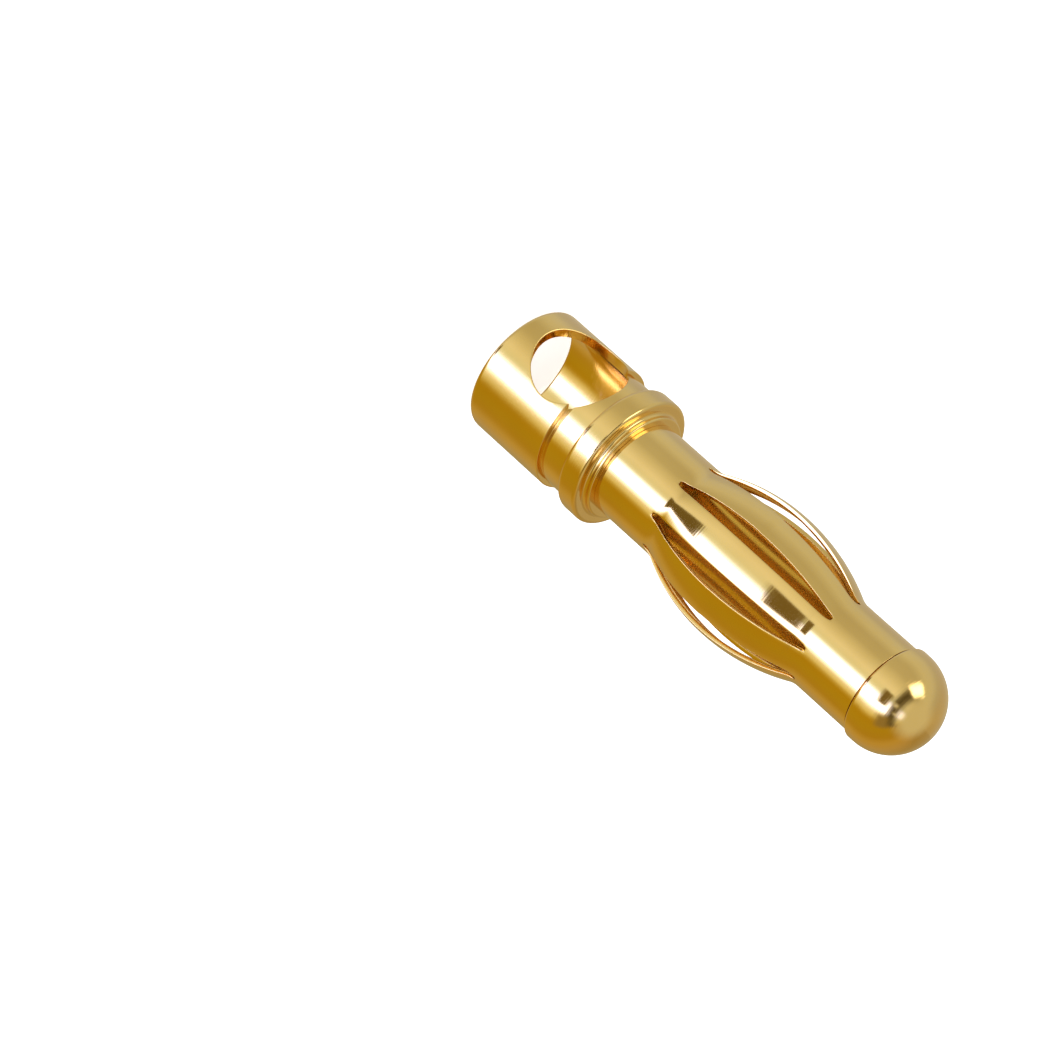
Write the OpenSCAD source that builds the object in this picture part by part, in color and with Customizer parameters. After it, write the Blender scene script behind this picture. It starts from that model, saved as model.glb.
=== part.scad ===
// Sprung bullet plug for a battery lead.
// A turned solder cup carries a long core pin. A slotted cage of thin spring sheet is threaded
// on the pin, and a domed nose on the pin's end keeps the cage on.
// Millimetres. +Z runs from the mouth of the solder cup to the nose, and the origin is the
// centre of the mouth, so the plug stands on its rim. The solder window faces -Y.

/* [Solder cup] */
// Outside diameter of the cup
cup_d = 4.84; // [4.6:0.02:5.4]
// Length of the cup, from its mouth to the groove
cup_l = 3.45; // [3:0.05:4.5]
// Diameter of the bore that takes the wire
bore_d = 3.8; // [3:0.05:4]
// Depth of the straight bore
bore_depth = 4.3; // [3.5:0.05:4.4]
// Point angle of the drill that made the bore
drill_angle = 118; // [110:1:140]
// Rounding of the rim's outer edge
rim_round = 0.2; // [0.05:0.01:0.25]
// Chamfer of the rim's inner edge
rim_chamfer = 0.12; // [0.05:0.01:0.15]

/* [Solder window] */
// Diameter of the round window in the cup's wall
window_d = 3.24; // [1.5:0.02:3.4]
// Height of the window's centre above the mouth
window_z = 2.5; // [2:0.05:2.6]

/* [Groove and neck] */
// Width of the turned groove
groove_w = 0.14; // [0.1:0.01:0.3]
// Diameter at the bottom of the groove
groove_d = 4.3; // [4.2:0.01:4.4]
// Diameter of the neck between the groove and the collar
neck_d = 4.48; // [4.42:0.01:4.58]
// Length of the neck
neck_l = 0.91; // [0.6:0.01:1.5]

/* [Collar] */
// Diameter of the collar
collar_d = 4.98; // [4.9:0.02:5.6]
// Length of the collar
collar_l = 0.9; // [0.7:0.02:1.4]
// Rounding of the collar's edge towards the neck
collar_rear_round = 0.22; // [0.1:0.01:0.3]
// Rounding of the collar's edge towards the cage
collar_front_round = 0.12; // [0.05:0.01:0.2]
// Diameter of the hub between the collar and the cage
hub_d = 4.1; // [3.8:0.02:4.3]
// Length of the hub
hub_l = 0.24; // [0.15:0.01:0.4]
// Rounding of the hub's edge
hub_round = 0.1; // [0.04:0.01:0.12]

/* [Core pin] */
// Diameter of the pin's waist inside the leaves
waist_d = 2.5; // [1.9:0.05:2.7]
// Length of each seat that the pin has under the cage's bands
seat_l = 1.9; // [1:0.05:2.1]
// Diameter of the stub that the nose is pressed on
stub_d = 1.8; // [1.2:0.05:1.8]
// Length of the stub
stub_l = 1; // [0.6:0.05:1.2]

/* [Cage] */
// Thickness of the spring sheet
sheet_t = 0.16; // [0.1:0.01:0.2]
// Outside diameter of the rear band
rear_band_d = 3.57; // [3.5:0.01:3.7]
// Length of the rear band
rear_band_l = 2.36; // [2.2:0.02:3]
// Outside diameter of the front band
front_band_d = 3.4; // [3.3:0.01:3.5]
// Length of the front band
front_band_l = 2.3; // [2.2:0.02:3]
// Length of the slots, from band to band
slot_l = 7.15; // [6.5:0.05:8]
// Diameter over the leaves at the top of their bow
bow_d = 5.06; // [4.6:0.02:5.3]
// Distance from the slots' rear end to the top of the bow
bow_z = 3.4; // [3.2:0.05:3.6]
// Radius of the bend where a leaf leaves its band
bend_r = 1.1; // [0.5:0.05:2]
// Number of leaves
leaf_count = 8; // [6:1:10]
// Width of a slot at its ends
slot_end_w = 0.2; // [0.12:0.01:0.26]
// Width of a slot halfway along
slot_mid_w = 0.56; // [0.35:0.01:0.6]
// Turn of the cage on the pin, in degrees
cage_turn = -7; // [-22:1:22]

/* [Nose] */
// Diameter of the domed nose
nose_d = 3.62; // [3.56:0.01:3.9]
// Length of the nose's straight rim, behind the dome
nose_rim_l = 0.3; // [0.2:0.02:0.8]
// Rounding of the rim's rear edge
nose_round = 0.1; // [0.04:0.01:0.14]

/* [Fits] */
// Radial clearance between the pin's seats and the cage's bands
seat_clearance = 0.02; // [0.01:0.005:0.04]
// Radial clearance between the stub and the nose's bore
stub_clearance = 0.005; // [0.002:0.001:0.02]
// Gap in front of the cage, which lets its front band slide when the leaves are pressed in
slide_gap = 0.05; // [0.02:0.01:0.15]
// Gap beyond the stub's end, inside the nose
stub_end_gap = 0.05; // [0.02:0.01:0.2]

/* [Hidden] */
$fn = 120;
gold = [0.84, 0.66, 0.27];
deep_gold = [0.74, 0.54, 0.16];

// Stations along the axis
groove_z = cup_l;
neck_z = groove_z + groove_w;
collar_z = neck_z + neck_l;
hub_z = collar_z + collar_l;
cage_z = hub_z + hub_l;
slot_z = cage_z + rear_band_l;
slot_end_z = slot_z + slot_l;
cage_end_z = slot_end_z + front_band_l;
nose_z = cage_end_z + slide_gap;
stub_end_z = nose_z + stub_l;

// Radii
cup_r = cup_d / 2;
collar_r = collar_d / 2;
hub_r = hub_d / 2;
nose_r = nose_d / 2;
bow_r = bow_d / 2;
bore_r = bore_d / 2;
rear_band_r = rear_band_d / 2;
front_band_r = front_band_d / 2;
rear_seat_r = rear_band_r - sheet_t - seat_clearance;
front_seat_r = front_band_r - sheet_t - seat_clearance;
waist_r = waist_d / 2;

// Small overlap that joins one shape to the next
join = 0.01;
// Straight steps along a leaf's bend and along each half of its long arc
bend_steps = 3;
arc_steps = 5;
// Straight steps along a slot's side and round its end
side_steps = 8;
end_steps = 4;

// Step of a profile: a rectangle from the axis out to radius r, between two stations
module step(r, z0, z1) {
    translate([0, z0]) square([r, z1 - z0]);
}

// What a rounding of radius q takes off the outer corner at (r, z).
// side is 1 where the material lies above the corner, and -1 where it lies below.
module outer_corner(r, z, q, side) {
    translate([r - q, z]) mirror([0, side < 0 ? 1 : 0])
        difference() {
            translate([0, -join]) square([q + join, q + join]);
            translate([0, q]) circle(r = q);
        }
}

// Straight cone between a seat and the waist, as a profile from the axis
module taper(r0, z0, r1, z1) {
    polygon([[0, z0], [r0, z0], [r1, z1], [0, z1]]);
}

// The core pin: a seat under each band, a slimmer waist between them and the stub
module pin_profile() {
    rear_seat_z = cage_z + seat_l;
    front_seat_z = nose_z - seat_l;
    step(rear_seat_r, hub_z, rear_seat_z);
    taper(rear_seat_r, rear_seat_z, waist_r, rear_seat_z + rear_seat_r - waist_r);
    step(waist_r, rear_seat_z, front_seat_z);
    taper(waist_r, front_seat_z - front_seat_r + waist_r, front_seat_r, front_seat_z);
    step(front_seat_r, front_seat_z, nose_z);
    step(stub_d / 2, nose_z - join, stub_end_z);
}

// The bore of the cup: a straight hole with the drill's cone and a chamfered mouth
module bore_profile() {
    point_l = bore_r / tan(drill_angle / 2);
    step(bore_r, -join, bore_depth);
    taper(bore_r + rim_chamfer + join, -join, bore_r, rim_chamfer);
    taper(bore_r, bore_depth, 0, bore_depth + point_l);
}

// Turned solids of the body, before the bore
module turned_profile() {
    step(cup_r, 0, groove_z);
    step(groove_d / 2, groove_z, neck_z);
    step(neck_d / 2, neck_z, collar_z);
    step(collar_r, collar_z, hub_z);
    step(hub_r, hub_z, cage_z);
}

module contact_body() {
    color(gold)
    difference() {
        rotate_extrude()
            difference() {
                union() {
                    turned_profile();
                    pin_profile();
                }
                bore_profile();
                outer_corner(cup_r, 0, rim_round, 1);
                outer_corner(collar_r, collar_z, collar_rear_round, 1);
                outer_corner(collar_r, hub_z, collar_front_round, -1);
                outer_corner(hub_r, cage_z, hub_round, -1);
            }
        translate([0, 0, window_z]) rotate([90, 0, 0]) cylinder(d = window_d, h = cup_d);
    }
}

// Points along one surface of half a bowed leaf, from its root at z = 0 to the top of its bow
// at z = l, for a band of radius r. depth is 0 for the outer surface and sheet_t for the inner.
// The leaf leaves the band in a bend of radius bend_r and runs on, tangent to the bend, in one
// long arc that is level at the top, so both surfaces share the same two centres.
function half_bow(r, l, depth) =
    let (
        rise = bow_r - r,
        arc_r = (l * l + rise * rise) / (2 * rise) - bend_r,
        lean = asin(l / (arc_r + bend_r))
    )
    concat(
        [for (i = [0 : bend_steps]) let (a = lean * i / bend_steps)
            [r + bend_r - (bend_r + depth) * cos(a), (bend_r + depth) * sin(a)]],
        [for (i = [1 : arc_steps]) let (a = lean * (1 - i / arc_steps))
            [bow_r - arc_r + (arc_r - depth) * cos(a), l - (arc_r - depth) * sin(a)]]
    );

function reversed(points) = [for (i = [len(points) - 1 : -1 : 0]) points[i]];

// One surface of the whole cage, from its rear edge to its front edge
function cage_line(depth) =
    let (front = half_bow(front_band_r, slot_l - bow_z, depth))
    concat(
        [[rear_band_r - depth, cage_z]],
        [for (p = half_bow(rear_band_r, bow_z, depth)) [p[0], slot_z + p[1]]],
        [for (i = [len(front) - 2 : -1 : 0]) [front[i][0], slot_end_z - front[i][1]]],
        [[front_band_r - depth, cage_end_z]]
    );

// Outline of one slot, centred on its length: round ends, and sides that swell as a parabola
module slot_outline() {
    end_r = slot_end_w / 2;
    half = slot_l / 2 - end_r;
    swell = (slot_mid_w - slot_end_w) / 2;
    right = [for (i = [0 : side_steps]) let (t = 2 * i / side_steps - 1)
        [end_r + swell * (1 - t * t), t * half]];
    cap = [for (i = [1 : end_steps - 1]) let (a = 180 * i / end_steps)
        [end_r * cos(a), half + end_r * sin(a)]];
    upper = concat(right, cap);
    polygon(concat(upper, [for (p = upper) -p]));
}

module contact_cage() {
    color(deep_gold)
    difference() {
        rotate_extrude() polygon(concat(cage_line(0), reversed(cage_line(sheet_t))));
        for (i = [0 : leaf_count - 1])
            rotate([0, 0, cage_turn + (i + 0.5) * 360 / leaf_count])
                translate([0, 0, slot_z + slot_l / 2])
                    rotate([90, 0, 0]) linear_extrude(height = bow_d) slot_outline();
    }
}

module nose_cap() {
    dome_z = nose_z + nose_rim_l;
    color(gold)
    rotate_extrude()
        difference() {
            union() {
                step(nose_r, nose_z, dome_z);
                intersection() {
                    translate([0, dome_z]) circle(r = nose_r, $fn = 180);
                    translate([0, dome_z - join]) square([nose_r, nose_d]);
                }
            }
            step(stub_d / 2 + stub_clearance, nose_z - join, stub_end_z + stub_end_gap);
            outer_corner(nose_r, nose_z, nose_round, 1);
        }
}

contact_body();
contact_cage();
nose_cap();
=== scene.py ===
"""Sprung bullet plug of a battery lead, on a pale floor in soft light.

The plug stands on the mouth of its solder cup, with +Z towards the nose. Lengths in the shape
functions are millimetres; each finished mesh is brought to metres before it becomes a piece.
"""
import math

import bmesh
import bpy
import numpy as np
from mathutils import Matrix, Vector


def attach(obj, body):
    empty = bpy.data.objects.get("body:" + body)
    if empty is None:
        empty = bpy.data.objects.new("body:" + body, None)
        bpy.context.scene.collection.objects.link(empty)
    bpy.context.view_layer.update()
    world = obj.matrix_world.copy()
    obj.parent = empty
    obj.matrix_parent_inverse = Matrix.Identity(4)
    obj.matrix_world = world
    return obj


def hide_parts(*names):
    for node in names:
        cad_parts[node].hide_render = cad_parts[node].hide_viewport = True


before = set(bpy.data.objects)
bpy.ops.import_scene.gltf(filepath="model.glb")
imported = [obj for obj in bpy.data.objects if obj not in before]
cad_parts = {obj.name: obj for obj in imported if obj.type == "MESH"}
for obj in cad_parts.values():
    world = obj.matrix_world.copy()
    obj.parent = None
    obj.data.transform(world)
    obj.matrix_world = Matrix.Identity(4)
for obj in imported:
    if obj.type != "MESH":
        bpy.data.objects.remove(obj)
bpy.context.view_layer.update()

# ---------------------------------------------------------------- the plug's own sizes, in mm

CUP_R, CUP_L = 2.42, 3.45
BORE_R, BORE_DEPTH, DRILL_ANGLE = 2.08, 4.15, 118.0
WINDOW_R, WINDOW_Z = 1.62, 2.5
GROOVE_R, GROOVE_MID, NECK_R = 2.18, 3.52, 2.25
NECK_Z, COLLAR_Z, HUB_Z, CAGE_Z = 3.59, 4.5, 5.4, 5.64
COLLAR_R, HUB_R = 2.49, 2.05
REAR_SEAT_R, FRONT_SEAT_R, WAIST_R, SEAT_L = 1.605, 1.52, 1.25, 1.9
STUB_R, STUB_END = 0.9, 18.5
SHEET_T, REAR_R, FRONT_R, BOW_R = 0.16, 1.785, 1.7, 2.53
SLOT_Z, SLOT_END, CAGE_END, BOW_Z = 8.0, 15.15, 17.45, 3.4
BEND_R, LEAVES, SLOT_END_W, SLOT_MID_W, CAGE_TURN = 1.1, 8, 0.2, 0.76, -7.0
NOSE_R, NOSE_Z, NOSE_RIM = 1.81, 17.5, 0.3
STUB_GAP, STUB_END_GAP = 0.005, 0.05    # round the stub, and beyond its end
EDGE_ROUND = 0.03                       # on the cut edges of the sheet
# How far each leaf springs out, as a share of the full bow
BOW_SHARE = np.array([0.84, 1, 1, 1, 1, 1, 0.74, 0.97])


# ---------------------------------------------------------------- surfaces

def filleted(corners, steps=5):
    """A path through corners (r, z, fillet): each corner is cut back by fillet * tan(half the
    turn) along both legs and bridged by an arc of that radius in equal steps of angle. Every
    straight leg gets a point just inside each end, and more at least every 0.4 mm."""
    pts = np.array([c[:2] for c in corners], float)
    rad = [c[2] if len(c) > 2 else 0.0 for c in corners]
    pieces = [pts[:1]]
    for k in range(1, len(pts) - 1):
        a, b, c = pts[k - 1], pts[k], pts[k + 1]
        u, v = (a - b) / np.linalg.norm(a - b), (c - b) / np.linalg.norm(c - b)
        turn = math.pi - math.acos(float(np.clip(u @ v, -1, 1)))
        if rad[k] <= 0 or turn < 1e-3:
            pieces.append(pts[k:k + 1])
            continue
        cut = rad[k] * math.tan(turn / 2)
        centre = b + (u + v) / np.linalg.norm(u + v) * rad[k] / math.cos(turn / 2)
        start, end = b + u * cut - centre, b + v * cut - centre
        t = np.linspace(0, 1, max(3, steps) + 1)[:, None]
        arc = (np.sin((1 - t) * turn) * start + np.sin(t * turn) * end) / math.sin(turn)
        pieces.append(centre + arc)
    pieces.append(pts[-1:])
    path = [pieces[0]]
    for last, nxt in zip(pieces[:-1], pieces[1:]):
        a, b = last[-1], nxt[0]
        length = float(np.linalg.norm(b - a))
        if length > 0.06:
            inner = np.linspace(0.012, length - 0.012, max(2, int(length / 0.4) + 1))
            path.append(a + (b - a) / length * inner[:, None])
        path.append(nxt)
    return np.concatenate(path)


def ring_quads(rings, around):
    """Four-cornered faces between each ring of points and the next, all the way round."""
    i, j = np.indices((rings - 1, around))
    k = (j + 1) % around
    return np.stack([i * around + j, i * around + k, (i + 1) * around + k,
                     (i + 1) * around + j], -1)


def fan(pole, start, around, above):
    """Three-cornered faces from a pole, above or below it, to the ring that begins at point
    start."""
    j = np.arange(around)
    k = (j + 1) % around
    one, two = (j, k) if above else (k, j)
    return np.stack([np.full(around, pole), start + one, start + two], -1).tolist()


def turned(path, around):
    """Surface of revolution: point (i, j) is path point i turned by j / around of a full
    circle about Z. A first or last point on the axis becomes one pole vertex with a fan."""
    path = np.asarray(path, float)
    south, north = path[0, 0] < 1e-9, path[-1, 0] < 1e-9
    rings = path[int(south):len(path) - int(north)]
    ang = np.arange(around) * 2 * math.pi / around
    r, z = rings[:, :1], rings[:, 1:]
    grid = np.stack([r * np.cos(ang), r * np.sin(ang), z + 0 * ang], -1).reshape(-1, 3)
    n = len(rings)
    faces = ring_quads(n, around).reshape(-1, 4).tolist()
    verts = grid
    if south:
        faces += fan(len(verts), 0, around, False)
        verts = np.vstack([verts, [0, 0, path[0, 1]]])
    if north:
        faces += fan(len(verts), (n - 1) * around, around, True)
        verts = np.vstack([verts, [0, 0, path[-1, 1]]])
    return verts, faces


def mesh_of(name, verts, faces):
    """Mesh made from whole arrays of points and faces."""
    mesh = bpy.data.meshes.new(name)
    mesh.from_pydata(np.asarray(verts).tolist(), [], faces)
    mesh.update()
    return mesh


def piece_of(name, mesh):
    """Object at the origin that holds the mesh."""
    obj = bpy.data.objects.new(name, mesh)
    bpy.context.scene.collection.objects.link(obj)
    return obj


def outward(mesh):
    """Turn every face to point out of its closed shell."""
    bm = bmesh.new()
    bm.from_mesh(mesh)
    bmesh.ops.remove_doubles(bm, verts=bm.verts, dist=1e-5)
    bmesh.ops.recalc_face_normals(bm, faces=bm.faces)
    bm.to_mesh(mesh)
    bm.free()


def finished(obj, name, node, sharp=35.0):
    """Apply the piece's modifiers, bring its mesh to metres and hand it to the frame."""
    deps = bpy.context.evaluated_depsgraph_get()
    mesh = bpy.data.meshes.new_from_object(obj.evaluated_get(deps))
    mesh.name = name
    bpy.data.objects.remove(obj)
    mesh.transform(Matrix.Scale(0.001, 4))
    mesh.shade_smooth()
    mesh.set_sharp_from_angle(angle=math.radians(sharp))
    piece = piece_of(name, mesh)
    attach(piece, "root")
    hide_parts(node)
    return piece


def body_path():
    """Half section of the turned body, from the drill point inside the cup, down the bore,
    round the rim, up over groove, neck, collar, hub and pin to the end of the stub."""
    point = BORE_DEPTH + BORE_R / math.tan(math.radians(DRILL_ANGLE / 2))
    front_seat = NOSE_Z - SEAT_L
    return filleted([
        (0, point), (BORE_R, BORE_DEPTH, 0.06), (BORE_R, 0.08, 0.03), (BORE_R + 0.06, 0, 0.02),
        (CUP_R, 0, 0.2), (CUP_R, CUP_L, 0.035), (GROOVE_R, CUP_L, 0.02),
        (GROOVE_R, NECK_Z, 0.02), (NECK_R, NECK_Z, 0.03), (NECK_R, COLLAR_Z, 0.04),
        (COLLAR_R, COLLAR_Z, 0.21), (COLLAR_R, HUB_Z, 0.13), (HUB_R, HUB_Z, 0.1),
        (HUB_R, CAGE_Z, 0.06), (REAR_SEAT_R, CAGE_Z), (REAR_SEAT_R, CAGE_Z + SEAT_L, 0.05),
        (WAIST_R, CAGE_Z + SEAT_L + REAR_SEAT_R - WAIST_R, 0.05),
        (WAIST_R, front_seat - FRONT_SEAT_R + WAIST_R, 0.05), (FRONT_SEAT_R, front_seat, 0.05),
        (FRONT_SEAT_R, NOSE_Z), (STUB_R, NOSE_Z), (STUB_R, STUB_END), (0, STUB_END)], steps=6)


def window_cutter(lip=0.05, around=160):
    """Closed plug that cuts the solder window: rings of radius WINDOW_R about -Y at the
    axis and under the cup's skin, then rings that flare by a quarter round of size lip as
    they come out through it. Each ring's depth follows the cup: y = -sqrt(R^2 - x^2)."""
    t = np.arange(around) * 2 * math.pi / around
    rings = [(WINDOW_R, None)]
    for s in np.linspace(0, math.pi / 2, 6):
        rings.append((WINDOW_R + lip * (1 - math.cos(s)), lip * (math.sin(s) - 1)))
    rings.append((WINDOW_R + lip * 3, 0.6))
    rows = []
    for r, out in rings:
        x, z = r * np.cos(t), WINDOW_Z + r * np.sin(t)
        skin = np.where(z > GROOVE_MID, NECK_R, CUP_R)
        y = np.zeros_like(x) if out is None else -np.sqrt(skin ** 2 - x ** 2) - out
        rows.append(np.stack([x, y, z], -1))
    verts = np.concatenate(rows)
    faces = ring_quads(len(rows), around).reshape(-1, 4).tolist()
    ends = np.array([[0, 0, WINDOW_Z], [0, -CUP_R - 0.9, WINDOW_Z]])
    faces += fan(len(verts), 0, around, False)
    faces += fan(len(verts) + 1, (len(rows) - 1) * around, around, True)
    return np.vstack([verts, ends]), faces


def turned_body():
    """The turned piece: its half section all the way round, less the solder window."""
    body = piece_of("body_blank", mesh_of("body_blank", *turned(body_path(), 360)))
    outward(body.data)
    cutter = piece_of("window_tool", mesh_of("window_tool", *window_cutter()))
    outward(cutter.data)
    cut = body.modifiers.new("window", "BOOLEAN")
    cut.operation = "DIFFERENCE"
    cut.solver = "EXACT"
    cut.object = cutter
    piece = finished(body, "turned_body", "contact_body")
    bpy.data.objects.remove(cutter)
    return piece


def half_bow(r, length, t):
    """Outer radius of half a leaf at distance t from its root: a bend of radius BEND_R that
    leaves the band, tangent to one long arc that is level at the top of the bow."""
    rise = BOW_R - r
    arc = (length ** 2 + rise ** 2) / (2 * rise) - BEND_R
    meet = BEND_R * length / (arc + BEND_R)
    bend = r + BEND_R - np.sqrt(np.maximum(BEND_R ** 2 - t ** 2, 0))
    bow = BOW_R - arc + np.sqrt(np.maximum(arc ** 2 - (length - t) ** 2, 0))
    return np.where(t < meet, bend, bow)


def cage_radius(z):
    """Outer radius of the cage at height z: band, bowed leaf, band."""
    rear = half_bow(REAR_R, BOW_Z, np.clip(z - SLOT_Z, 0, BOW_Z))
    front = half_bow(FRONT_R, SLOT_END - SLOT_Z - BOW_Z,
                     np.clip(SLOT_END - z, 0, SLOT_END - SLOT_Z - BOW_Z))
    r = np.where(z < SLOT_Z + BOW_Z, rear, front)
    return np.where(z < SLOT_Z, REAR_R, np.where(z > SLOT_END, FRONT_R, r))


def spring_cage(leaf_cols=18, slot_cols=8, leaf_rows=84):
    """One sheet wrapped round the axis: column j runs along the plug at a fixed share of its
    leaf or slot, row i lies at one height. In the slots' columns the rows at the slot's two
    ends follow its round end, and there are no faces between them."""
    end_r = SLOT_END_W / 2
    lo, hi = SLOT_Z + end_r, SLOT_END - end_r
    share = np.linspace(0, 1, leaf_rows)
    mid = lo + (hi - lo) * (share - 0.55 * np.sin(2 * math.pi * share) / (2 * math.pi))
    # Rows on the two bands, closer together towards the slots
    rear = np.array([CAGE_Z, CAGE_Z + 0.03, 6.2, 6.8, 7.3, 7.6, 7.75, 7.85, 7.93])
    front = np.array([15.22, 15.3, 15.4, 15.6, 16.0, 16.6, 17.1, 17.42, CAGE_END])
    z_row = np.concatenate([rear, mid, front])
    first, last = len(rear), len(rear) + leaf_rows - 1
    t = (z_row - (lo + hi) / 2) / ((hi - lo) / 2)
    half_w = end_r + (SLOT_MID_W - SLOT_END_W) / 2 * np.clip(1 - t ** 2, 0, 1)
    r_row = cage_radius(z_row)
    half_a = np.arcsin(half_w / r_row)
    pitch = 2 * math.pi / LEAVES
    a = np.linspace(0, 1, leaf_cols + 1)
    b = np.linspace(0, 1, slot_cols + 1)[1:-1]
    leaf = (-pitch / 2 + half_a)[:, None] + (pitch - 2 * half_a)[:, None] * a
    slot = (pitch / 2 - half_a)[:, None] + (2 * half_a)[:, None] * b
    one = np.concatenate([leaf, slot], 1)
    cols = one.shape[1]
    ang = (one[:, None, :] + (np.arange(LEAVES) * pitch)[:, None]).reshape(len(z_row), -1)
    ang = ang + math.radians(CAGE_TURN)
    z = np.repeat(z_row[:, None], cols * LEAVES, 1)
    x = (2 * b - 1) * end_r
    dip = end_r - np.sqrt(end_r ** 2 - x ** 2)
    in_slot = np.tile(np.arange(cols) >= leaf_cols + 1, LEAVES)
    z[first, in_slot] = np.tile(SLOT_Z + dip, LEAVES)
    z[last, in_slot] = np.tile(SLOT_END - dip, LEAVES)
    band = np.where(z < SLOT_Z + BOW_Z, REAR_R, FRONT_R)
    r = band + (cage_radius(z) - band) * np.repeat(BOW_SHARE, cols)
    verts = np.stack([r * np.cos(ang), r * np.sin(ang), z], -1).reshape(-1, 3)
    total = cols * LEAVES
    i, j = np.indices((len(z_row) - 1, total))
    sheet = (j % cols < leaf_cols) | (i < first) | (i >= last)
    quads = ring_quads(len(z_row), total)[sheet]
    used, index = np.unique(quads, return_inverse=True)
    cage = piece_of("cage_sheet", mesh_of("cage_sheet", verts[used],
                                          index.reshape(-1, 4).tolist()))
    wall = cage.modifiers.new("sheet", "SOLIDIFY")
    wall.thickness = SHEET_T
    wall.offset = -1
    wall.use_even_offset = True
    # The sheet's rims take material 1, whose brighter colour is a painted highlight on the cut
    # edges
    wall.material_offset_rim = 1
    edge = cage.modifiers.new("edges", "BEVEL")
    edge.width = EDGE_ROUND
    edge.segments = 3
    edge.limit_method = "ANGLE"
    edge.angle_limit = math.radians(50)
    edge.use_clamp_overlap = True
    return finished(cage, "spring_cage", "contact_cage", 40.0)


def domed_nose():
    """Dome on a short straight rim: a quarter circle of radius NOSE_R above the rim, and
    under it the rounded rear edge, the flat back and the hole for the stub."""
    dome_z = NOSE_Z + NOSE_RIM
    hole_r, hole_end = STUB_R + STUB_GAP, STUB_END + STUB_END_GAP
    rim = filleted([(0, hole_end), (hole_r, hole_end), (hole_r, NOSE_Z, 0.02),
                    (NOSE_R, NOSE_Z, 0.1), (NOSE_R, dome_z)], steps=6)
    s = np.linspace(0, math.pi / 2, 73)[1:]
    dome = np.stack([NOSE_R * np.cos(s), dome_z + NOSE_R * np.sin(s)], -1)
    dome[-1, 0] = 0
    path = np.concatenate([rim, dome])
    nose = piece_of("nose_blank", mesh_of("nose_blank", *turned(path, 240)))
    outward(nose.data)
    return finished(nose, "domed_nose", "nose_cap")


body = turned_body()
cage = spring_cage()
nose = domed_nose()


# ---------------------------------------------------------------- materials

DRIFT_SCALE, MARK_SCALE = 420, 9000         # noises per metre: drift of tone, small marks
MARK_HEIGHT, MARK_ROUGHNESS = 0.12, 0.05    # what the small marks add
RELIEF_DEPTH = 0.00001
COAT_WEIGHT, COAT_ROUGHNESS = 0.8, 0.05
LIGHT_GOLD = (0.90, 0.62, 0.19)


def plate_group():
    """Node group for gold plate: a slow drift of tone, fine turned lines round Z, and
    small marks. It puts out a tone from 0 to 1, a roughness and a height."""
    tree = bpy.data.node_groups.new("gold_plate", "ShaderNodeTree")
    face = tree.interface
    for key in ("Line pitch", "Roughness", "Line depth"):
        face.new_socket(key, in_out="INPUT", socket_type="NodeSocketFloat")
    for key in ("Tone", "Plate roughness", "Height"):
        face.new_socket(key, in_out="OUTPUT", socket_type="NodeSocketFloat")
    n, link = tree.nodes, tree.links.new
    put_in, put_out = n.new("NodeGroupInput"), n.new("NodeGroupOutput")
    place = n.new("ShaderNodeTexCoord")
    drift = n.new("ShaderNodeTexNoise")
    drift.inputs["Scale"].default_value = DRIFT_SCALE
    drift.inputs["Detail"].default_value = 2
    link(place.outputs["Object"], drift.inputs["Vector"])
    tone = n.new("ShaderNodeMapRange")
    tone.inputs["From Min"].default_value = 0.3
    tone.inputs["From Max"].default_value = 0.7
    link(drift.outputs["Fac"], tone.inputs["Value"])
    link(tone.outputs["Result"], put_out.inputs["Tone"])
    # Turned lines: noise stretched flat, so that it changes along Z and hardly round it
    split = n.new("ShaderNodeSeparateXYZ")
    link(place.outputs["Object"], split.inputs["Vector"])
    pitch = n.new("ShaderNodeMath")
    pitch.operation = "DIVIDE"
    link(split.outputs["Z"], pitch.inputs[0])
    link(put_in.outputs["Line pitch"], pitch.inputs[1])
    lines = n.new("ShaderNodeTexNoise")
    lines.noise_dimensions = "1D"
    lines.inputs["Detail"].default_value = 3
    lines.inputs["Scale"].default_value = 1
    link(pitch.outputs["Value"], lines.inputs["W"])
    marks = n.new("ShaderNodeTexNoise")
    marks.inputs["Scale"].default_value = MARK_SCALE
    marks.inputs["Detail"].default_value = 4
    link(place.outputs["Object"], marks.inputs["Vector"])
    lift = n.new("ShaderNodeMath")
    lift.operation = "MULTIPLY"
    link(lines.outputs["Fac"], lift.inputs[0])
    link(put_in.outputs["Line depth"], lift.inputs[1])
    height = n.new("ShaderNodeMath")
    height.operation = "MULTIPLY_ADD"
    height.inputs[1].default_value = MARK_HEIGHT
    link(marks.outputs["Fac"], height.inputs[0])
    link(lift.outputs["Value"], height.inputs[2])
    link(height.outputs["Value"], put_out.inputs["Height"])
    rough = n.new("ShaderNodeMath")
    rough.operation = "MULTIPLY_ADD"
    rough.inputs[1].default_value = MARK_ROUGHNESS
    link(marks.outputs["Fac"], rough.inputs[0])
    link(put_in.outputs["Roughness"], rough.inputs[2])
    link(rough.outputs["Value"], put_out.inputs["Plate roughness"])
    return tree


PLATE = plate_group()


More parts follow.
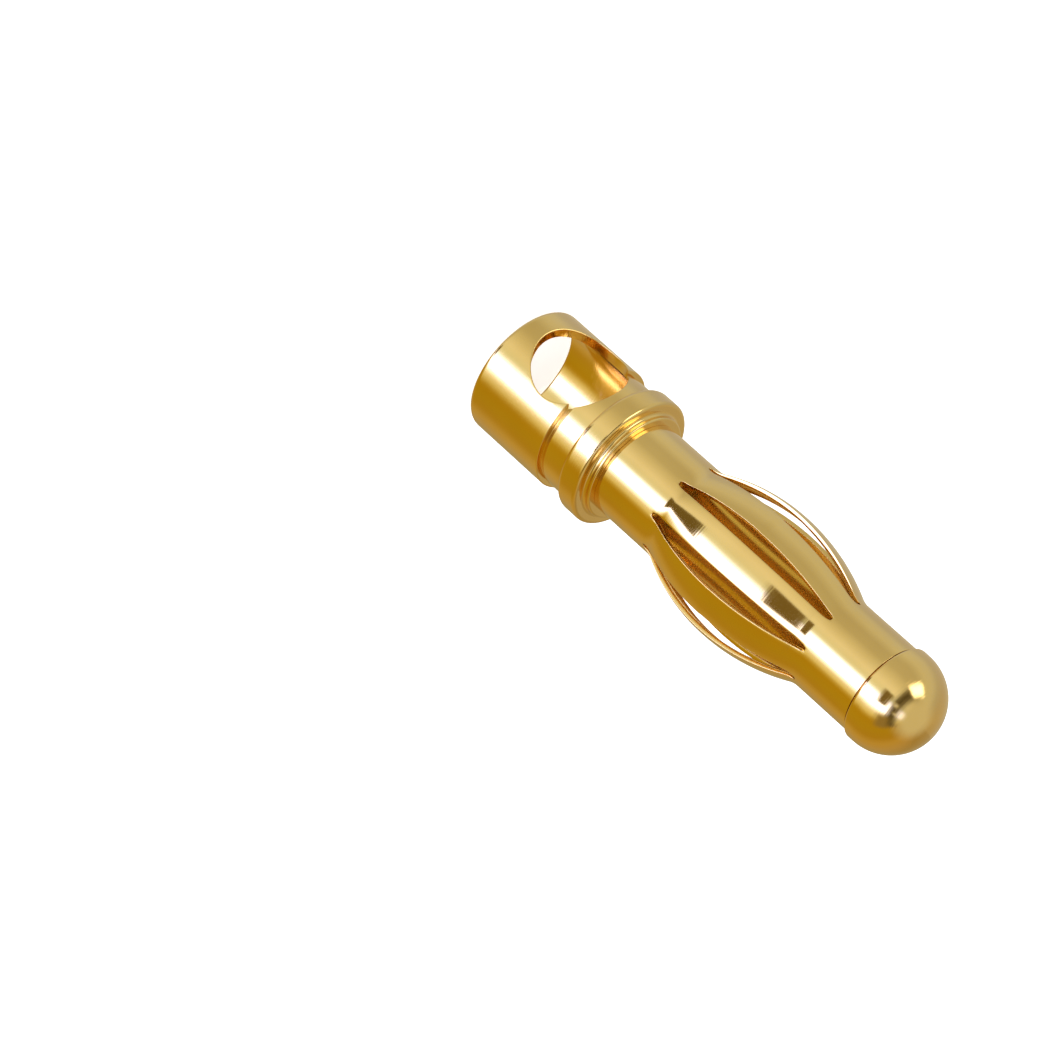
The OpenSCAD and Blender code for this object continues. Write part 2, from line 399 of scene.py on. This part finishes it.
def gold(name, light, deep, rough, pitch, depth, metallic=1.0, bump=0.0):
    """Gold plate with two linear tones, light and deep. pitch and depth are its turned
    lines'. With a bump it is polished: it gets a clear coat, and the height shows."""
    mat = bpy.data.materials.new(name)
    mat.use_nodes = True
    n, link = mat.node_tree.nodes, mat.node_tree.links.new
    skin = n["Principled BSDF"]
    plate = n.new("ShaderNodeGroup")
    plate.node_tree = PLATE
    plate.inputs["Line pitch"].default_value = pitch
    plate.inputs["Roughness"].default_value = rough
    plate.inputs["Line depth"].default_value = depth
    tone = n.new("ShaderNodeMix")
    tone.data_type = "RGBA"
    tone.inputs[6].default_value = (*light, 1)
    tone.inputs[7].default_value = (*deep, 1)
    link(plate.outputs["Tone"], tone.inputs[0])
    link(tone.outputs[2], skin.inputs["Base Color"])
    link(plate.outputs["Plate roughness"], skin.inputs["Roughness"])
    skin.inputs["Metallic"].default_value = metallic
    if bump:
        skin.inputs["Coat Weight"].default_value = COAT_WEIGHT
        skin.inputs["Coat Roughness"].default_value = COAT_ROUGHNESS
        relief = n.new("ShaderNodeBump")
        relief.inputs["Strength"].default_value = bump
        relief.inputs["Distance"].default_value = RELIEF_DEPTH
        link(plate.outputs["Height"], relief.inputs["Height"])
        link(relief.outputs["Normal"], skin.inputs["Normal"])
    return mat


def faces_with(piece, rule, index):
    """Give material number index to the faces whose centre (r, z), in mm, fits the rule."""
    mesh = piece.data
    centre = np.empty(len(mesh.polygons) * 3)
    mesh.polygons.foreach_get("center", centre)
    centre = centre.reshape(-1, 3) * 1000
    number = np.empty(len(mesh.polygons), np.int32)
    mesh.polygons.foreach_get("material_index", number)
    number[rule(np.hypot(centre[:, 0], centre[:, 1]), centre[:, 2])] = index
    mesh.polygons.foreach_set("material_index", number)


body.data.materials.append(gold("turned_gold_plate", LIGHT_GOLD, (0.84, 0.56, 0.15),
                                0.09, 0.00004, 1.0, bump=0.3))
# Duller plate on the pin inside the cage. Its deeper, more saturated amber is painted shade and
# painted gold-on-gold reflection from the leaves round it.
body.data.materials.append(gold("pin_plate_painted_shade", (0.98, 0.60, 0.07), (0.88, 0.48, 0.04),
                                0.2, 0.00008, 0.8, metallic=0.72))
faces_with(body, lambda r, z: (z > CAGE_Z + 0.02) & (r < REAR_SEAT_R + 0.02), 1)
cage.data.materials.append(gold("sheet_gold_plate", LIGHT_GOLD, (0.85, 0.57, 0.16),
                                0.07, 0.00006, 0.6, bump=0.2))
# Slightly rougher plate on the cut edges of the sheet, its brighter colour a painted highlight
# where the edges catch the light
cage.data.materials.append(gold("sheared_edge_painted_highlight", (1.0, 0.80, 0.34), (0.94, 0.70, 0.24),
                                0.28, 0.00005, 0.5, metallic=0.7))
nose.data.materials.append(gold("nose_gold_plate", LIGHT_GOLD, (0.86, 0.57, 0.16),
                                0.08, 0.00004, 0.8, bump=0.25))


# ---------------------------------------------------------------- camera, floor and light

VIEW_AZ = -55.0          # the side that faces the camera, in degrees about Z
VIEW_TILT = 62.7         # angle between +Z and the way to the camera
VIEW_DIST = 0.14
VIEW_ROLL = 42.68        # the plug's axis runs down to the right by this much
VIEW_SHIFT = (-0.003633, -0.003805)     # metres along u and w, below
SENSOR_W, VIEW_REACH = 36, 4172 / 1052  # focal length over the picture's width
FLOOR_GLOW, EVEN_LIGHT = 0.78, 0.55
PEAK = 8                 # a ramp holds colours up to 1, so the world's are kept as eighths


def aimed_camera():
    """Camera VIEW_DIST away along v, turned so that the plug's axis lies at VIEW_ROLL. u is
    the image's direction of +Z and w the one across it. VIEW_SHIFT puts the cup's mouth
    where it belongs in the frame."""
    th, roll = math.radians(VIEW_TILT), math.radians(VIEW_ROLL)
    u = Vector((-math.cos(th), 0, math.sin(th)))
    v = Vector((math.sin(th), 0, math.cos(th)))
    w = Vector((0, 1, 0))
    right = math.cos(roll) * u - math.sin(roll) * w
    up = -(math.sin(roll) * u + math.cos(roll) * w)
    spot = v * VIEW_DIST - VIEW_SHIFT[0] * u - VIEW_SHIFT[1] * w
    turn = Matrix.Rotation(math.radians(VIEW_AZ), 3, "Z")
    axes = turn @ Matrix((right, up, v)).transposed()
    cam = bpy.data.objects.new("camera", bpy.data.cameras.new("camera"))
    bpy.context.scene.collection.objects.link(cam)
    cam.data.sensor_width = SENSOR_W
    cam.data.lens = SENSOR_W * VIEW_REACH
    cam.data.clip_start = 0.005
    cam.data.clip_end = 10
    cam.matrix_world = Matrix.Translation(turn @ spot) @ axes.to_4x4()
    bpy.context.scene.camera = cam


def pale_floor():
    """Wide pale sheet under the plug. Camera rays get a little of its own light on top of
    what falls on it, so the open floor is white and the plug's shadow stays."""
    half = 1.5
    floor = piece_of("floor", mesh_of("floor", [(-half, -half, 0), (half, -half, 0),
                                                (half, half, 0), (-half, half, 0)],
                                      [[0, 1, 2, 3]]))
    mat = bpy.data.materials.new("pale_floor")
    mat.use_nodes = True
    n, link = mat.node_tree.nodes, mat.node_tree.links.new
    skin = n["Principled BSDF"]
    skin.inputs["Base Color"].default_value = (0.9, 0.9, 0.9, 1)
    skin.inputs["Roughness"].default_value = 0.7
    skin.inputs["Specular IOR Level"].default_value = 0.1
    path = n.new("ShaderNodeLightPath")
    glow = n.new("ShaderNodeMath")
    glow.operation = "MULTIPLY"
    glow.inputs[1].default_value = FLOOR_GLOW
    link(path.outputs["Is Camera Ray"], glow.inputs[0])
    link(glow.outputs["Value"], skin.inputs["Emission Strength"])
    skin.inputs["Emission Color"].default_value = (1, 1, 1, 1)
    floor.data.materials.append(mat)
    floor.visible_glossy = False


def studio_world():
    """White for camera rays, even pale light for the rest, and for what metal mirrors a
    round of soft panels: a light strip, a warm low side, grey sides and a dark gap."""
    world = bpy.data.worlds.new("studio")
    bpy.context.scene.world = world
    world.use_nodes = True
    n, link = world.node_tree.nodes, world.node_tree.links.new
    n.clear()
    out, path = n.new("ShaderNodeOutputWorld"), n.new("ShaderNodeLightPath")
    place, split = n.new("ShaderNodeTexCoord"), n.new("ShaderNodeSeparateXYZ")
    turn = n.new("ShaderNodeVectorRotate")
    turn.rotation_type = "Z_AXIS"
    turn.inputs["Angle"].default_value = math.radians(-VIEW_AZ)
    link(place.outputs["Generated"], turn.inputs["Vector"])
    link(turn.outputs["Vector"], split.inputs["Vector"])

    def math_node(op, a, b=None):
        """Output of a Math node; a and b are numbers or other outputs."""
        m = n.new("ShaderNodeMath")
        m.operation = op
        for k, value in enumerate((a,) if b is None else (a, b)):
            if isinstance(value, (int, float)):
                m.inputs[k].default_value = value
            else:
                link(value, m.inputs[k])
        return m.outputs["Value"]

    az = math_node("MULTIPLY", math_node("ARCTAN2", split.outputs["Y"], split.outputs["X"]),
                   180 / math.pi)
    el = math_node("MULTIPLY", math_node("ARCSINE", split.outputs["Z"]), 180 / math.pi)

    def rise(value, lo, hi):
        """0 below lo, 1 above hi, and a soft step between them."""
        m = n.new("ShaderNodeMapRange")
        m.interpolation_type = "SMOOTHSTEP"
        m.inputs["From Min"].default_value = lo
        m.inputs["From Max"].default_value = hi
        link(value, m.inputs["Value"])
        return m.outputs["Result"]

    def panel(az0, az1, el0, el1, soft):
        """1 inside a window of directions, 0 outside, with soft edges."""
        parts = [rise(az, az0 - soft / 2, az0 + soft / 2),
                 math_node("SUBTRACT", 1, rise(az, az1 - soft / 2, az1 + soft / 2)),
                 rise(el, el0 - soft / 2, el0 + soft / 2),
                 math_node("SUBTRACT", 1, rise(el, el1 - soft / 2, el1 + soft / 2))]
        value = parts[0]
        for part in parts[1:]:
            value = math_node("MULTIPLY", value, part)
        return value

    # Round of panels by the angle from the camera's side
    stops = [(-180, (0.50, 0.42, 0.26)), (-160, (0.55, 0.48, 0.32)), (-140, (0.52, 0.48, 0.40)),
             (-124, (0.52, 0.52, 0.50)), (-108, (0.62, 0.64, 0.64)), (-90, (0.65, 0.66, 0.62)),
             (-70, (0.54, 0.53, 0.46)), (-48, (0.57, 0.56, 0.48)), (-30, (0.74, 0.74, 0.68)),
             (-12, (0.92, 0.94, 0.98)), (0, (0.86, 0.92, 0.98)), (6, (0.95, 1.1, 1.4)),
             (12, (1.9, 2.2, 5.0)), (18, (3.0, 3.4, 7.5)), (34, (3.0, 3.4, 7.5)),
             (40, (1.5, 1.6, 2.6)), (46, (0.95, 0.95, 0.95)), (53, (0.82, 0.76, 0.45)),
             (60, (0.56, 0.42, 0.08)), (66, (0.47, 0.31, 0.015)), (84, (0.46, 0.32, 0.02)),
             (104, (0.46, 0.30, 0.03)), (122, (0.54, 0.38, 0.10)), (140, (0.50, 0.36, 0.14)),
             (160, (0.40, 0.30, 0.12)), (180, (0.44, 0.36, 0.20))]
    value = n.new("ShaderNodeMapRange")
    value.inputs["From Min"].default_value = -180
    value.inputs["From Max"].default_value = 180
    link(az, value.inputs["Value"])
    ramp = n.new("ShaderNodeValToRGB")
    bar = ramp.color_ramp
    bar.interpolation = "LINEAR"
    for angle, colour in stops[1:-1]:
        bar.elements.new((angle + 180) / 360)
    for k, (angle, colour) in enumerate(stops):
        bar.elements[k].color = (*[c / PEAK for c in colour], 1)
    link(value.outputs["Result"], ramp.inputs["Fac"])

    def mixed(factor, a, b):
        """a where factor is 0 and b where it is 1."""
        m = n.new("ShaderNodeMix")
        m.data_type = "RGBA"
        link(factor, m.inputs[0])
        for key, side in ((6, a), (7, b)):
            if isinstance(side, tuple):
                m.inputs[key].default_value = (*[c / PEAK for c in side], 1)
            else:
                link(side, m.inputs[key])
        return m.outputs[2]

    look = ramp.outputs["Color"]
    for window, colour in [((-6, 24, -200, -47, 4), (0.17, 0.13, 0.05)),
                           ((-6, 24, 1, 24, 4), (0.20, 0.15, 0.06)),
                           ((-60, 70, 30, 54, 14), (0.09, 0.07, 0.03)),
                           ((44, 74, 16, 40, 14), (0.3, 0.23, 0.1)),
                           ((-80, -46, 26, 48, 10), (3.4, 3.4, 3.8)),
                           ((2, 12, 36, 41, 4), (1.2, 1.2, 1.2)),
                           ((26, 32, 43, 47, 4), (1.0, 1.0, 1.0))]:
        look = mixed(panel(*window), look, colour)
    look = mixed(rise(el, 40, 72), look, (0.66, 0.66, 0.62))
    seen = n.new("ShaderNodeBackground")
    link(look, seen.inputs["Color"])
    seen.inputs["Strength"].default_value = PEAK
    even = n.new("ShaderNodeBackground")
    even.inputs["Color"].default_value = (1, 1, 1, 1)
    even.inputs["Strength"].default_value = EVEN_LIGHT
    white = n.new("ShaderNodeBackground")
    white.inputs["Color"].default_value = (1, 1, 1, 1)
    first, second = n.new("ShaderNodeMixShader"), n.new("ShaderNodeMixShader")
    link(path.outputs["Is Glossy Ray"], first.inputs[0])
    link(even.outputs[0], first.inputs[1])
    link(seen.outputs[0], first.inputs[2])
    link(path.outputs["Is Camera Ray"], second.inputs[0])
    link(first.outputs[0], second.inputs[1])
    link(white.outputs[0], second.inputs[2])
    link(second.outputs[0], out.inputs["Surface"])


def soft_sun():
    """Broad lamp from above that gives the plug its shadow and stays out of mirrors."""
    lamp = bpy.data.lights.new("soft_sun", "SUN")
    lamp.energy = 1.1
    lamp.angle = math.radians(50)
    obj = bpy.data.objects.new("soft_sun", lamp)
    bpy.context.scene.collection.objects.link(obj)
    obj.rotation_euler = (math.radians(30), math.radians(12), math.radians(40))
    obj.visible_glossy = False


aimed_camera()
pale_floor()
studio_world()
soft_sun()
bpy.context.scene.view_settings.view_transform = "Standard"
